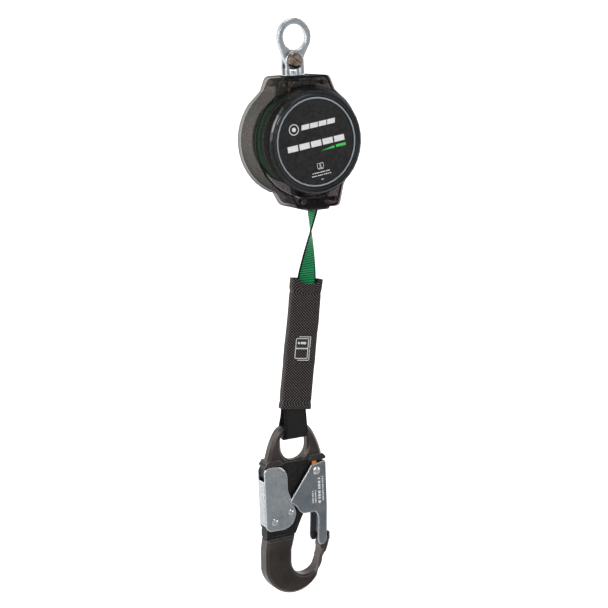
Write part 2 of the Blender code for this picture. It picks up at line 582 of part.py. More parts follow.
def hook_body(look, hook):
    """The forged hook: an eye with a bar, a thinner waist under the gate and lever, and the bowl."""
    half = EYE_SLOT_HALF
    slot = arc(0, 0, half, 180, 360, 16)[1:-1] + rounded([
        (half, 0, 0), (half, EYE_SLOT_TOP, 2), (-half, EYE_SLOT_TOP, 2), (-half, 0, 0)
    ])
    bar_top = EYE_SLOT_TOP + 2 * BAR_R
    eye = rounded([
        (21.5, 14.0, 6), (15, bar_top, 7), (-15, bar_top, 7), (-21.5, 14.0, 6), (-27.5, 1.5, 8),
        (-31.5, -12, 0), (-29, -25, 0), (29, -25, 0), (31.5, -12, 0), (27.5, 1.5, 8),
    ])
    body = add("hook_body", plate([eye[::-1], slot], -BAR_R, BAR_R, 2.6), look["hook_black"], hook)
    left_ledge = [
        (-31.5, -11.6, 1), (-19, -12.6, 1), (-15, -15.8, 0), (-15, -17.2, 0), (-35.4, -17.2, 0),
        (-35.4, -16, 1),
    ]
    right_ledge = [
        (15, -15.8, 0), (19, -12.6, 1), (31.5, -12.6, 1), (34.6, -16.2, 1), (33.6, -18.6, 1), (15, -18.6, 0)
    ]
    for ledge in (left_ledge, right_ledge):
        join(body, plate([rounded(ledge)[::-1]], -LEDGE_HALF, LEDGE_HALF))
    waist = rounded([
        (-30, -16, 0), (30, -16, 0), (30.6, -28, 3), (29.2, -34.5, 2), (9.7, -68.5, 3), (3.6, -80, 4),
        (-5.2, -98, 0), (-8, -104, 0), (-36, -104, 0), (-36.2, -86, 3), (-33.6, -77.5, 2),
        (-26.8, -31.5, 1.5), (-35.2, -29.3, 1.5), (-35.2, -18, 0),
    ])
    join(body, plate([waist[::-1]], -MID_HALF, MID_HALF))
    bowl_x, bowl_z, bowl_r = 7.7, -123.0, 16.5
    bowl = arc(-5.8, -123.5, 33.0, 188, 322, 18)
    bowl += rounded([
        (31.2, -122.5, 6), (36.4, -108.5, 4), (36.9, -98.5, 2.5), (33.9, -96.0, 1.2), (33.8, -103.6, 0),
        (27.6, -104.4, 2), (25.4, -114, 3),
    ])
    bowl += arc(bowl_x, bowl_z, bowl_r, 0, -180, 16)
    bowl += [(-8.2, -109.5), (-4.6, -97.5), (-4.8, -95.4), (-35.8, -95.4), (-37.9, -106.5)]
    join(body, plate([bowl[::-1]], -END_HALF, END_HALF, 2.2))
    for low in (-12.0, 4.6):
        cut(body, box((-40, low, -95.3), (0, low + 7.4, -92.6)))
    gate_x, gate_z = GATE_PIVOT[0] - HOOK_X, GATE_PIVOT[1] - HOOK_Z
    lever_x, lever_z = LEVER_PIVOT[0] - HOOK_X, LEVER_PIVOT[1] - HOOK_Z
    for x, z in ((gate_x, gate_z), (lever_x, lever_z)):
        hole = rod(2.8, -20, 20, chamfer=0, sides=16)
        hole.transform(Matrix.Translation((x * MM, 0, z * MM)))
        cut(body, hole)
    pin_x, pin_z = LOCK_PIN[0] - HOOK_X, LOCK_PIN[1] - HOOK_Z
    cut(body, plate([hull([(pin_x, pin_z, 3.4), (pin_x + 1.2, pin_z - 3.6, 3.4)], 8)], -12, 12))
    pocket = rod(6.6, -9, -3.6, chamfer=0, sides=20)
    pocket.transform(Matrix.Translation((lever_x * MM, 0, lever_z * MM)))
    cut(body, pocket)


def rivet(name, head_r, reach, look, at):
    """A solid rivet along Y with a domed head at each end."""
    dome = [(head_r * math.cos(t), reach + 1.7 * math.sin(t)) for t in (0.0, 0.7, 1.25)]
    profile = [(r, -y) for r, y in dome[::-1]] + [(2.5, -reach), (2.5, reach)] + dome
    add(name, turned(profile, sides=16), look["zinc"], None, at)


def gate(look):
    """The folded steel gate: two side plates round the hook and a back wall, hinged at the top."""
    outline = rounded([
        (-6.0, 6.4, 1), (11.2, 9.4, 2), (11.2, -40, 0), (9.6, -76, 3), (6.4, -80.6, 3), (1.0, -80.4, 3),
        (-0.6, -75, 0), (1.0, -50, 3), (-2, -43.6, 3), (-17.0, -43.4, 3), (-21.0, -40.5, 1),
        (-24.6, -34.0, 3), (-32.0, -28.5, 1),
    ])
    folded = plate([outline[::-1]], -GATE_OUT, GATE_OUT, 0.5)
    piece = add("gate", folded, look["zinc"], None, (GATE_PIVOT[0], 0, GATE_PIVOT[1]))
    inside = [(9.6, 20), (9.6, -40), (8.1, -72.5), (14, -72.5), (14, -90), (-40, -90), (-40, 20)]
    cut(piece, plate([inside], -GATE_IN, GATE_IN))
    cut(piece, rod(2.8, -20, 20, chamfer=0, sides=16))


def lock_lever(look):
    """The folded steel lock lever on the hook's back, hinged at its lower end."""
    outline = rounded([
        (-9.7, 56, 3), (-4, 58.6, 2), (10, 57.5, 6), (16.6, 48, 5), (16.4, 30, 2), (19.0, 24.5, 2),
        (25.6, 6, 4), (21.5, -5.5, 5), (12.5, -10, 4), (-6.0, -9.6, 2), (-9.6, -6, 2),
    ])
    folded = plate([outline[::-1]], -LEVER_OUT, LEVER_OUT, 0.5)
    piece = add("lock_lever", folded, look["zinc"], None, (LEVER_PIVOT[0], 0, LEVER_PIVOT[1]))
    inside = [(-8.2, -4), (-20, -4), (-20, -30), (40, -30), (40, 70), (-20, 70), (-20, 43.5), (-8.2, 43.5)]
    cut(piece, plate([inside], -LEVER_IN, LEVER_IN))
    cut(piece, rod(2.8, -20, 20, chamfer=0, sides=16))
    pin_hole = rod(2.9, -20, 20, chamfer=0, sides=16)
    pin_x, pin_z = LOCK_PIN[0] - LEVER_PIVOT[0], LOCK_PIN[1] - LEVER_PIVOT[1]
    pin_hole.transform(Matrix.Translation((pin_x * MM, 0, pin_z * MM)))
    cut(piece, pin_hole)


def coil(radius, wire, y, tail):
    """A torsion spring's single turn with two straight legs, as one bent wire."""
    route = arc(0, 0, radius, 20, 340, 16)
    (first_x, first_z), (last_x, last_z) = route[0], route[-1]
    legs = [(first_x + 0.3, first_z + tail * 0.3), *route, (last_x + tail, last_z - tail * 0.6)]
    loops = []
    for i, (x, z) in enumerate(legs):
        a, b = legs[max(i - 1, 0)], legs[min(i + 1, len(legs) - 1)]
        side = Vector((-(b[1] - a[1]), b[0] - a[0])).normalized()
        loops.append([
            (x + side.x * wire * math.cos(t), y + wire * math.sin(t), z + side.y * wire * math.cos(t))
            for t in [2 * math.pi * k / 6 for k in range(6)]
        ])
    return loft(loops)


def snap_hook(look):
    """The whole snap hook: body, gate, lock lever, their rivets and springs, and the orange mark."""
    hook = bpy.data.objects.new("hook_frame", None)
    bpy.context.collection.objects.link(hook)
    hook.location = (HOOK_X * MM, 0, HOOK_Z * MM)
    hook_body(look, hook)
    gate(look)
    lock_lever(look)
    rivet("gate_rivet", 4.5, GATE_OUT + GAP, look, (GATE_PIVOT[0], 0, GATE_PIVOT[1]))
    rivet("lever_rivet", 4.1, LEVER_OUT + GAP, look, (LEVER_PIVOT[0], 0, LEVER_PIVOT[1]))
    rivet("lock_pin", 3.5, LEVER_OUT + GAP, look, (LOCK_PIN[0], 0, LOCK_PIN[1]))
    gate_at, lever_at = (GATE_PIVOT[0], 0, GATE_PIVOT[1]), (LEVER_PIVOT[0], 0, LEVER_PIVOT[1])
    add("gate_spring", coil(4.4, 0.55, -7.3, 4.0), look["spring_steel"], None, gate_at)
    add("lock_spring", coil(4.4, 0.6, -4.9, 0.8), look["spring_steel"], None, lever_at)
    tell = box((-2.4, -8.1, 5.0), (2.6, -7.3 + 0.1, 9.9))
    add("gate_tell_tale", tell, look["tell_tale"], None, (GATE_PIVOT[0] - 1.5, 0, GATE_PIVOT[1]))


def main():
    for old in list(bpy.data.objects):
        bpy.data.objects.remove(old)
    look = looks()
    bolt = bpy.data.objects.new("bolt_axis", None)
    drum = bpy.data.objects.new("drum_axis", None)
    for helper, z in ((bolt, BOLT_Z), (drum, AXIS_Z)):
        bpy.context.collection.objects.link(helper)
        helper.location = (BOLT_X * MM, 0, z * MM)
    anchor_eye(look)
    swivel(look, bolt)
    for build in (shells, face, frame, web_parts, reel, brake, recoil):
        build(look, drum)
    line(look)
    snap_hook(look)


main()
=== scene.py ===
"""The looks of a self retracting lifeline: finishes, woven webs, a stitched cover and printed marks."""

import json
import math

import bmesh
import bpy
from mathutils import Matrix, Vector, noise


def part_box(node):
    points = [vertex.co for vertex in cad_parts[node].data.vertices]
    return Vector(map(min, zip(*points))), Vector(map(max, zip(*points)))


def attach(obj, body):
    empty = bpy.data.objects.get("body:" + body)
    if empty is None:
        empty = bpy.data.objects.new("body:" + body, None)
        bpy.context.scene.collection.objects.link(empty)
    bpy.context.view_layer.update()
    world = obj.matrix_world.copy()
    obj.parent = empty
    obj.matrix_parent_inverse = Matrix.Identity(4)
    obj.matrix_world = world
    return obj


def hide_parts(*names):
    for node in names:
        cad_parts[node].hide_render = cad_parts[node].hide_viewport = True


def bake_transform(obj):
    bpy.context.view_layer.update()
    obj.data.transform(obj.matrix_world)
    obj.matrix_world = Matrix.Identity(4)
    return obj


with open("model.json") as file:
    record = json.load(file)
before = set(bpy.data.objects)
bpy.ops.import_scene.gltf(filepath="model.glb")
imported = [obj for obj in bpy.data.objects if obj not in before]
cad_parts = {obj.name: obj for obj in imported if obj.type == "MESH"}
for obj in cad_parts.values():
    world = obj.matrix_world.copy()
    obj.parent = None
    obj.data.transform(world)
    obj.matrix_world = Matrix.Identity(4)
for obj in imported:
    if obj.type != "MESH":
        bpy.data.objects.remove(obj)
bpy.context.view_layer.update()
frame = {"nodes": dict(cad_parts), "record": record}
nodes = frame["nodes"]
MM = 0.001


# ---------------------------------------------------------------- places, from the frame

def middle(node):
    low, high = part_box(node)
    return (Vector(low) + Vector(high)) / 2


LABEL_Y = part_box("label_disc")[0][1]
DISC = middle("label_disc")
COVER_TOP = Vector((4.0, -2.5, -241.5)) * MM
COVER_END = Vector((-15.2, -2.5, -374.0)) * MM
COVER_SIZE = Vector((34.8, 11.8)) * MM
COVER_WALL = 1.4 * MM
TOP_HEM, FOOT_HEM = 13 * MM, 6.5 * MM
TOP_DIP = 5.0 * MM  # how far the cover's front dips at its top edge
WEB_TOP = Vector((12.1, -5.0, -171.0)) * MM
WEB_WIDTH, WEB_THICK = 20.6 * MM, 1.8 * MM
BAR = Vector((-16.6, 0.0, -396.75)) * MM
LOOP_WIDTH, LOOP_THICK = 25.8 * MM, 2.6 * MM
RIB = 2.4 * MM  # pitch of the web's ribs


# ---------------------------------------------------------------- camera, light and floor

def camera():
    """A long lens from the left of the label, a little above, as a product picture is taken."""
    side, distance, height = math.radians(-28), 1.6, 0.038
    turn, down, roll = math.radians(-28.041), math.radians(10.82), math.radians(-2)
    made = bpy.data.cameras.new("camera")
    made.lens = 95.03
    made.clip_start, made.clip_end = 0.05, 30
    holder = bpy.data.objects.new("camera", made)
    bpy.context.collection.objects.link(holder)
    place = Matrix.Translation((distance * math.sin(side), -distance * math.cos(side), height))
    aim = Matrix.Rotation(turn, 4, "Z") @ Matrix.Rotation(math.pi / 2 - down, 4, "X")
    holder.matrix_world = place @ aim @ Matrix.Rotation(roll, 4, "Z")
    bpy.context.scene.camera = holder


def area_light(name, place, aim, size, power):
    """A soft rectangular lamp turned towards a point."""
    made = bpy.data.lights.new(name, "AREA")
    made.shape = "RECTANGLE"
    made.size, made.size_y = size
    made.energy = power
    holder = bpy.data.objects.new(name, made)
    bpy.context.collection.objects.link(holder)
    holder.location = place
    holder.rotation_euler = (Vector(aim) - Vector(place)).to_track_quat("-Z", "Y").to_euler()


def studio():
    """A pale floor, below the line at full payout, that curves up into a wall all round, and soft lights."""
    floor_z, reach, bend, top = -2.2, 9.0, 2.0, 7.0
    profile = [(0.0, floor_z), (reach - bend, floor_z)]
    for i in range(1, 9):
        t = math.pi / 2 * i / 8
        profile.append((reach - bend + bend * math.sin(t), floor_z + bend - bend * math.cos(t)))
    profile.append((reach, top))
    build = bmesh.new()
    sides = 64
    rows = [
        [build.verts.new((r * math.cos(2 * math.pi * k / sides), r * math.sin(2 * math.pi * k / sides), z))
         for k in range(sides)] for r, z in profile[1:]
    ]
    centre = build.verts.new((0, 0, floor_z))
    for k in range(sides):
        j = (k + 1) % sides
        build.faces.new((centre, rows[0][k], rows[0][j]))
        for low, high in zip(rows, rows[1:]):
            build.faces.new((low[k], high[k], high[j], low[j]))
    mesh = bpy.data.meshes.new("backdrop")
    build.to_mesh(mesh)
    build.free()
    mesh.shade_smooth()
    backdrop = bpy.data.objects.new("backdrop", mesh)
    bpy.context.collection.objects.link(backdrop)
    paper = Paint("paper")
    paper.set(**{"Base Color": (0.5, 0.5, 0.5, 1), "Roughness": 0.9, "Specular IOR Level": 0.1,
                 "Emission Color": (1, 1, 1, 1)})
    parts = paper.add("ShaderNodeSeparateXYZ")
    paper.tree.links.new(paper.place, parts.inputs[0])
    # Painted light: the paper glows by itself, dim at the front and bright towards the back.
    depth = paper.add("ShaderNodeMapRange", interpolation_type="SMOOTHSTEP")
    paper.feed(depth, {
        "Value": parts.outputs["Y"], "From Min": -1.4, "From Max": 0.6, "To Min": 0.16, "To Max": 0.95,
    })
    paper.set(**{"Emission Strength": depth.outputs[0]})
    paper.bump(paper.noise(40, 4), 0.0006)
    mesh.materials.append(paper.material)
    world = bpy.data.worlds.new("studio")
    world.use_nodes = True
    world.node_tree.nodes["Background"].inputs["Color"].default_value = (0.85, 0.88, 0.92, 1)
    world.node_tree.nodes["Background"].inputs["Strength"].default_value = 0.3
    bpy.context.scene.world = world
    bpy.context.scene.view_settings.view_transform = "Standard"
    heart = (0, 0, -0.25)
    area_light("key", (-1.3, -1.5, 0.75), heart, (0.6, 1.2), 20)
    area_light("fill", (1.7, -1.3, 0.1), heart, (0.5, 1.5), 8)
    area_light("crown", (0.1, -0.2, 1.5), heart, (1.0, 1.0), 9)
    area_light("rim_left", (-1.6, 0.9, 0.2), heart, (0.4, 1.6), 10)
    area_light("rim_right", (1.4, 1.2, 0.3), heart, (0.4, 1.6), 8)


# ---------------------------------------------------------------- finishes

class Paint:
    """A material on the Principled shader, and short calls for the nodes that feed it."""

    def __init__(self, name):
        self.material = bpy.data.materials.new(name)
        self.material.use_nodes = True
        self.tree = self.material.node_tree
        self.shader = self.tree.nodes["Principled BSDF"]
        self.out = self.tree.nodes["Material Output"]
        self.place = self.add("ShaderNodeTexCoord").outputs["Object"]

    def add(self, kind, **settings):
        made = self.tree.nodes.new(kind)
        for key, value in settings.items():
            setattr(made, key, value)
        return made

    def feed(self, made, values):
        for key, value in values.items():
            if isinstance(value, bpy.types.NodeSocket):
                self.tree.links.new(value, made.inputs[key])
            else:
                made.inputs[key].default_value = value
        return made

    def set(self, **values):
        self.feed(self.shader, values)

    def noise(self, scale, detail=3, stretch=(1, 1, 1)):
        where = self.add("ShaderNodeMapping")
        self.feed(where, {"Vector": self.place, "Scale": stretch})
        made = self.add("ShaderNodeTexNoise")
        self.feed(made, {"Vector": where.outputs[0], "Scale": scale, "Detail": detail, "Roughness": 0.55})
        return made.outputs["Fac"]

    def ramp(self, value, stops):
        """A colour ramp from (position, colour or grey) stops."""
        made = self.add("ShaderNodeValToRGB")
        line = made.color_ramp.elements
        while len(line) < len(stops):
            line.new(0.5)
        for element, (at, colour) in zip(line, stops):
            element.position = at
            element.color = (*colour, 1) if isinstance(colour, tuple) else (colour, colour, colour, 1)
        self.tree.links.new(value, made.inputs["Fac"])
        return made.outputs["Color"]

    def math(self, operation, a, b=0.0, c=0.0):
        made = self.add("ShaderNodeMath", operation=operation)
        for socket, value in zip(made.inputs, (a, b, c)):
            if isinstance(value, bpy.types.NodeSocket):
                self.tree.links.new(value, socket)
            else:
                socket.default_value = value
        return made.outputs[0]

    def mix(self, share, a, b):
        made = self.add("ShaderNodeMix", data_type="RGBA", blend_type="MIX")
        for socket, value in zip((made.inputs[0], made.inputs[6], made.inputs[7]), (share, a, b)):
            if isinstance(value, bpy.types.NodeSocket):
                self.tree.links.new(value, socket)
            else:
                socket.default_value = (*value, 1) if isinstance(value, tuple) else value
        return made.outputs[2]

    def bump(self, height, distance):
        """Raises the surface by a height from 0 to 1 times a distance in metres. Calls add up."""
        made = self.add("ShaderNodeBump")
        self.feed(made, {"Height": height, "Distance": distance, "Strength": 1.0})
        if self.shader.inputs["Normal"].links:
            self.tree.links.new(self.shader.inputs["Normal"].links[0].from_socket, made.inputs["Normal"])
        self.tree.links.new(made.outputs[0], self.shader.inputs["Normal"])

    def edge_wear_and_highlight(self, colour, bright, reach=0.5 * MM):
        """Brightens the edges: worn finish on the forging, a painted rim highlight on the zinc."""
        edge = self.add("ShaderNodeBevel", samples=4)
        edge.inputs["Radius"].default_value = reach
        self.tree.links.new(edge.outputs[0], self.shader.inputs["Normal"])
        flat = self.add("ShaderNodeNewGeometry").outputs["Normal"]
        made = self.add("ShaderNodeVectorMath", operation="DOT_PRODUCT")
        self.tree.links.new(edge.outputs[0], made.inputs[0])
        self.tree.links.new(flat, made.inputs[1])
        away = self.math("SUBTRACT", 1.0, made.outputs["Value"])
        share = self.math("MULTIPLY", away, 12.0)
        share = self.math("MULTIPLY", share, self.math("ADD", self.noise(420, 3), 0.25))
        return self.mix(self.math("MINIMUM", share, 0.9), colour, bright)


def metal(name, dark, light, rough, grain=(60, 60, 60), patches=35.0, grain_height=0.00003):
    """Plated or plain steel: cloudy colour, uneven gloss and a fine drawn grain."""
    paint = Paint(name)
    cloud = paint.noise(patches, 5)
    colour = paint.ramp(cloud, [(0.32, dark), (0.68, light)])
    gloss = paint.ramp(paint.noise(patches * 6, 4), [(0.3, max(rough - 0.07, 0.04)), (0.7, rough + 0.08)])
    paint.set(**{"Base Color": colour, "Roughness": gloss, "Metallic": 1.0})
    paint.bump(paint.noise(18, 3, grain), grain_height)
    paint.bump(paint.noise(900, 2), grain_height * 0.5)
    return paint.material


def plastic(name, colour, rough, speckle=0.25, height=0.00002, shine=0.5):
    """Moulded plastic: almost even colour, a fine spark texture and slight gloss changes."""
    paint = Paint(name)
    low = tuple(c * (1 - speckle) for c in colour)
    high = tuple(c * (1 + speckle) + 0.002 for c in colour)
    paint.set(**{
        "Base Color": paint.ramp(paint.noise(260, 4), [(0.35, low), (0.65, high)]),
        "Roughness": paint.ramp(paint.noise(90, 4), [(0.3, max(rough - 0.06, 0.03)), (0.7, rough + 0.06)]),
        "Specular IOR Level": shine,
    })
    paint.bump(paint.noise(1500, 2), height)
    return paint.material


def smoke_shell(name, depth):
    """Smoke tinted clear polycarbonate with faint stress colours, darker where it is seen edge on."""
    paint = Paint(name)
    stress = paint.noise(16, 2, (1, 0.35, 1))
    paint.set(**{
        "Base Color": paint.ramp(stress, [
            (0.30, (0.064, 0.052, 0.062)), (0.45, (0.062, 0.058, 0.055)),
            (0.58, (0.054, 0.060, 0.054)), (0.70, (0.068, 0.058, 0.050)),
        ]),
        "IOR": 1.585, "Specular IOR Level": 0.45,
        "Roughness": paint.ramp(paint.noise(50, 4), [(0.3, 0.06), (0.7, 0.14)]),
    })
    paint.bump(paint.noise(22, 2), 0.00008)
    facing = paint.add("ShaderNodeLayerWeight")
    facing.inputs["Blend"].default_value = 0.4
    edge = paint.math("POWER", facing.outputs["Facing"], 1.0)
    hues = (
        (0.30, (1.00, 0.93, 0.985)), (0.45, (1.00, 0.97, 0.975)),
        (0.58, (0.98, 0.99, 0.955)), (0.70, (1.03, 0.96, 0.93)),
    )
    shade = paint.ramp(stress, [(at, tuple(depth * v for v in hue)) for at, hue in hues])
    tint = paint.add("ShaderNodeBsdfTransparent")
    paint.tree.links.new(paint.mix(edge, shade, (0.02, 0.02, 0.02)), tint.inputs["Color"])
    outside = paint.math("SUBTRACT", 1.0, paint.add("ShaderNodeNewGeometry").outputs["Backfacing"])
    share = paint.math("MULTIPLY", paint.math("MULTIPLY_ADD", edge, -0.13, 0.16), outside)
    both = paint.add("ShaderNodeMixShader")
    paint.tree.links.new(share, both.inputs[0])
    paint.tree.links.new(tint.outputs[0], both.inputs[1])
    paint.tree.links.new(paint.shader.outputs[0], both.inputs[2])
    paint.tree.links.new(both.outputs[0], paint.out.inputs["Surface"])
    return paint.material


def strap_weave(name, dark, light, edge, ribs=0.36):
    """Webbing on a strap piece: its map runs across from -1 to 1. Its ribs are level with the outlet."""
    paint = Paint(name)
    parts = paint.add("ShaderNodeSeparateXYZ")
    paint.tree.links.new(paint.add("ShaderNodeUVMap", uv_map="strap").outputs[0], parts.inputs[0])
    across = parts.outputs["X"]
    outlet = paint.add("ShaderNodeTexCoord", object=nodes["outlet_nozzle"])
    spot = paint.add("ShaderNodeSeparateXYZ")
    paint.tree.links.new(outlet.outputs["Object"], spot.inputs[0])
    rib = paint.math("SINE", paint.math("MULTIPLY", spot.outputs["Z"], 2 * math.pi / RIB))
    yarn = paint.math("SINE", paint.math("MULTIPLY", across, 2 * math.pi * 13))
    weave = paint.math("MULTIPLY_ADD", rib, ribs, 0.5)
    weave = paint.math("MULTIPLY_ADD", yarn, 0.12, weave)
    weave = paint.math("ADD", weave, paint.math("MULTIPLY_ADD", paint.noise(900, 3), 0.5, -0.25))
    body = paint.ramp(weave, [(0.15, dark), (0.8, light)])
    side = paint.math("ABSOLUTE", across)
    share = paint.ramp(side, [(0.80, 0.0), (0.87, 1.0)])
    colour = paint.mix(share, body, edge)
    paint.set(**{
        "Base Color": colour, "Sheen Weight": 0.02, "Sheen Roughness": 0.4, "Specular IOR Level": 0.15,
        "Roughness": paint.ramp(weave, [(0.1, 0.85), (0.9, 0.6)]),
    })
    paint.bump(weave, 0.00016)
    paint.bump(paint.noise(2600, 2), 0.00006)
    return paint.material


def pack_weave():
    """The web wound on the drum: ribs across its rim, rings on its sides, its front half painted dark as
    shade.
    """
    paint = Paint("web_pack_weave")
    parts = paint.add("ShaderNodeSeparateXYZ")
    paint.tree.links.new(paint.place, parts.inputs[0])
    centre, rim = middle("web_pack"), (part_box("web_pack")[1][0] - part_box("web_pack")[0][0]) / 2
    x = paint.math("SUBTRACT", parts.outputs["X"], centre.x)
    z = paint.math("SUBTRACT", parts.outputs["Z"], centre.z)
    turn = paint.math("ARCTAN2", z, x)
    rib = paint.math("SINE", paint.math("MULTIPLY", turn, 2 * math.pi * round(rim / RIB)))
    squares = paint.math("ADD", paint.math("MULTIPLY", x, x), paint.math("MULTIPLY", z, z))
    radius = paint.math("SQRT", squares)
    layer = paint.math("SINE", paint.math("MULTIPLY", radius, 2 * math.pi / WEB_THICK))
    weave = paint.math("MULTIPLY_ADD", paint.math("ADD", rib, layer), 0.2, 0.5)
    weave = paint.math("ADD", weave, paint.math("MULTIPLY_ADD", paint.noise(500, 3), 0.4, -0.2))
    body = paint.ramp(weave, [(0.15, (0.02, 0.16, 0.06)), (0.8, (0.10, 0.52, 0.24))])
    depth = paint.math("SUBTRACT", parts.outputs["Y"], centre.y)
    off_centre = paint.math("MULTIPLY", paint.math("ABSOLUTE", depth), 100)
    share = paint.ramp(off_centre, [(0.88, 0.0), (0.92, 1.0)])
    # Painted shade: the front half is darkened, standing in for a flange the model lacks.
    painted_front_shade = paint.ramp(paint.math("MULTIPLY", depth, -100), [(0.0, 0.0), (0.35, 0.94)])
    share = paint.math("MAXIMUM", share, painted_front_shade)
    paint.set(**{
        "Base Color": paint.mix(share, body, (0.012, 0.014, 0.013)), "Roughness": 0.75, "Sheen Weight": 0.1,
    })
    paint.bump(weave, 0.0003)
    return paint.material


def nylon():
    """Coarse basket weave nylon on the cover, whose map is in metres across and along."""
    paint = Paint("nylon_weave")
    parts = paint.add("ShaderNodeSeparateXYZ")
    paint.tree.links.new(paint.add("ShaderNodeUVMap", uv_map="strap").outputs[0], parts.inputs[0])
    weft = paint.math("SINE", paint.math("MULTIPLY", parts.outputs["X"], 2 * math.pi / (3.3 * MM)))
    warp = paint.math("SINE", paint.math("MULTIPLY", parts.outputs["Y"], 2 * math.pi / (2.9 * MM)))
    weave = paint.math("MULTIPLY_ADD", paint.math("MULTIPLY", weft, warp), 0.45, 0.5)
    weave = paint.math("ADD", weave, paint.math("MULTIPLY_ADD", paint.noise(1100, 3), 0.4, -0.2))
    colour = paint.ramp(weave, [
        (0.35, (0.005, 0.0045, 0.0045)), (0.62, (0.026, 0.022, 0.021)), (0.9, (0.20, 0.175, 0.165)),
    ])
    dust = paint.ramp(paint.noise(30, 4), [(0.35, 0.0), (0.75, 0.10)])
    colour = paint.mix(dust, colour, (0.05, 0.045, 0.042))
    paint.set(**{
        "Base Color": colour, "Sheen Weight": 0.02, "Sheen Roughness": 0.5, "Specular IOR Level": 0.12,
        "Roughness": paint.ramp(weave, [(0.2, 0.75), (0.8, 0.5)]),
    })
    paint.bump(weave, 0.0003)
    return paint.material


def thread(name, colour):
    """Twisted sewing thread."""
    paint = Paint(name)
    twist = paint.noise(1800, 2, (1, 1, 3))
    dark = tuple(c * 0.6 for c in colour)
    paint.set(**{
        "Base Color": paint.ramp(twist, [(0.3, dark), (0.7, colour)]),
        "Roughness": 0.7, "Specular IOR Level": 0.2,
    })
    paint.bump(twist, 0.0001)
    return paint.material


def print_ink(name, colour, rough=0.45):
    """Printed or etched marks: slightly uneven ink."""
    paint = Paint(name)
    thin = tuple(c * 0.86 for c in colour)
    paint.set(**{"Base Color": paint.ramp(paint.noise(700, 4), [(0.35, thin), (0.6, colour)]),
                 "Roughness": paint.ramp(paint.noise(300, 3), [(0.3, rough - 0.08), (0.7, rough + 0.08)])})
    paint.bump(paint.noise(2000, 2), 0.00001)
    return paint.material


def forged():
    """Dark anodised forging: bronze cast, orange peel, paler worn edges, and a rougher face at the recessed
    waist painted near black as shade.
    """
    paint = Paint("dark_forging")
    body = paint.ramp(paint.noise(40, 5), [(0.3, (0.036, 0.031, 0.029)), (0.7, (0.082, 0.070, 0.064))])
    parts = paint.add("ShaderNodeSeparateXYZ")
    paint.tree.links.new(paint.place, parts.inputs[0])
    # Painted shade: the recessed faces of the waist get a near black colour, and a rougher finish.
    inside = paint.math("LESS_THAN", paint.math("ABSOLUTE", parts.outputs["Y"]), 6.15 * MM)
    below = paint.math("LESS_THAN", parts.outputs["Z"], -427.0 * MM)
    above = paint.math("GREATER_THAN", parts.outputs["Z"], -508.5 * MM)
    waist = paint.math("MULTIPLY", paint.math("MULTIPLY", inside, below), above)
    black = paint.ramp(paint.noise(900, 3), [(0.35, (0.012, 0.011, 0.011)), (0.75, (0.045, 0.042, 0.041))])
    gloss = paint.ramp(paint.noise(120, 5), [(0.3, 0.30), (0.7, 0.46)])
    paint.set(**{
        "Base Color": paint.edge_wear_and_highlight(paint.mix(waist, body, black), (0.24, 0.21, 0.195), 0.8 * MM),
        "Metallic": 0.8,
        "Roughness": paint.mix(paint.math("MULTIPLY", waist, 0.6), gloss, (0.62, 0.62, 0.62)),
    })
    paint.bump(paint.noise(700, 3), 0.00006)
    paint.bump(paint.noise(90, 3), 0.00012)
    return paint.material


def zinc(name="zinc_plate", tone=(0.44, 0.48, 0.51), rough=0.28, rim=1.3):
    """Bright zinc plate: pale blue and straw clouds, a drawn grain, and near white edges painted as a rim
    highlight.
    """
    paint = Paint(name)
    cool = tuple(v * w for v, w in zip(tone, (0.78, 0.82, 0.84)))
    warm = tuple(v * w for v, w in zip(tone, (1.22, 1.16, 1.08)))
    cloud = paint.ramp(paint.noise(70, 6), [(0.25, cool), (0.5, tone), (0.75, warm)])
    paint.set(**{
        # Painted highlight: the near white edge colour stands for the bright rim lines the lamps draw.
        "Base Color": paint.edge_wear_and_highlight(cloud, (0.95, 0.95, 0.95), rim * MM), "Metallic": 1.0,
        "Roughness": paint.ramp(paint.noise(240, 5), [(0.3, rough - 0.07), (0.7, rough + 0.09)]),
    })
    paint.bump(paint.noise(500, 4), 0.00004)
    paint.bump(paint.noise(60, 2, (1, 1, 0.08)), 0.00004)
    return paint.material


